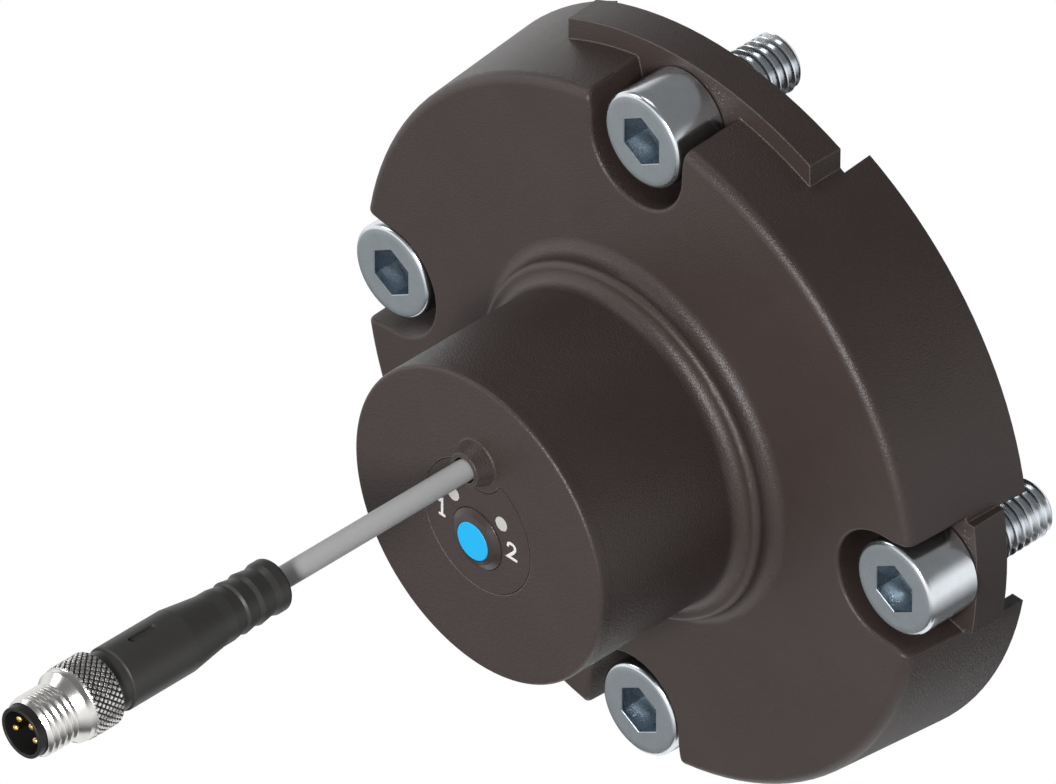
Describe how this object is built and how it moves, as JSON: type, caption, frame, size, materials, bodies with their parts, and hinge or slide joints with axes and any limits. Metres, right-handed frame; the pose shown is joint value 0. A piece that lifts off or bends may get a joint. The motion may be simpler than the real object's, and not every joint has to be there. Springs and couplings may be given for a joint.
{
  "type": "rotary position sensor",
  "caption": "Flange-mounted magnetic rotary position sensor with a teach button, status lamps, a driven rotor and a short cable with a screw plug.",
  "frame": {"origin": "centre of the mounting face, on the rotor's axis", "axes": "+Y into the rotary drive along the rotor's axis, +Z towards the cable and the raised arc, so the front with the teach button faces -Y"},
  "size_m": [0.101, 0.1272, 0.1025],
  "materials": {
    "housing_plastic": "fine moulded grain, brown-black",
    "zinc_steel": "zinc plated, bluish",
    "insert_plastic": "fine moulded grain",
    "button_elastomer": "satin elastomer",
    "cap_blue": "satin blue",
    "lamp_window": "milky light guide",
    "lamp_chip": "clear lens on a chip",
    "board_green": "solder mask",
    "chip_black": "moulded chip case",
    "small_part": "ceramic chip part",
    "small_screw_steel": "zinc plated",
    "cover_plastic": "black moulded",
    "seal_rubber": "black rubber",
    "plate_aluminium": "turned",
    "bush_bronze": "sintered bronze",
    "rotor_plastic": "natural acetal",
    "magnet_nickel": "nickel plated",
    "spring_steel": "oiled spring steel",
    "cable_grey": "polyurethane sheath",
    "core_insulation": "coloured core insulation",
    "plug_plastic": "soft black overmould",
    "carrier_plastic": "black moulded",
    "pin_gold": "gold plated",
    "nut_nickel": "nickel plated brass"
  },
  "bodies": {
    "sensor_body": {"housing": "housing_plastic", "mounting_screws": "zinc_steel", "front_insert": "insert_plastic", "lamp_window_1": "lamp_window", "lamp_window_2": "lamp_window", "lamp_chip_1": "lamp_chip", "lamp_chip_2": "lamp_chip", "circuit_board": "board_green", "angle_chip": "chip_black", "controller_chip": "chip_black", "board_components": "small_part", "key_switch_body": "chip_black", "board_screws": "small_screw_steel", "cover_screws": "small_screw_steel", "bearing_plate_screws": "small_screw_steel", "chamber_cover": "cover_plastic", "cover_seal": "seal_rubber", "bearing_plate": "plate_aluminium", "bearing_bush": "bush_bronze", "cable_grommet": "seal_rubber", "cable": "cable_grey", "cable_cores": "core_insulation", "plug_body": "plug_plastic", "plug_insert": "carrier_plastic", "plug_pins": "pin_gold"},
    "teach_button": {"teach_button": "button_elastomer", "button_cap": "cap_blue"},
    "key_plunger": {"key_plunger": "rotor_plastic"},
    "rotor": {"rotor": "rotor_plastic", "magnet": "magnet_nickel", "retaining_ring": "spring_steel"},
    "plug_nut": {"plug_nut": "nut_nickel"}
  },
  "joints": [
    {"name": "rotor_turn", "type": "hinge", "parent": "sensor_body", "child": "rotor", "pos_m": [0, 0, 0], "axis": [0, 1, 0], "range_deg": [-135, 135]},
    {"name": "button_press", "type": "slide", "parent": "sensor_body", "child": "teach_button", "axis": [0, 1, 0], "range_m": [0, 0.0004], "stiffness_N_per_m": 3000, "springref_m": -0.0002},
    {"name": "key_plunger_press", "type": "slide", "parent": "sensor_body", "child": "key_plunger", "axis": [0, 1, 0], "range_m": [0, 0.0004]},
    {"name": "nut_turn", "type": "hinge", "parent": "sensor_body", "child": "plug_nut", "pos_m": [0, -0.109, 0.0098], "axis": [0, 1, 0], "continuous": true}
  ],
  "couplings": [
    {"joint": "key_plunger_press", "follows": "button_press", "ratio": 1}
  ]
}
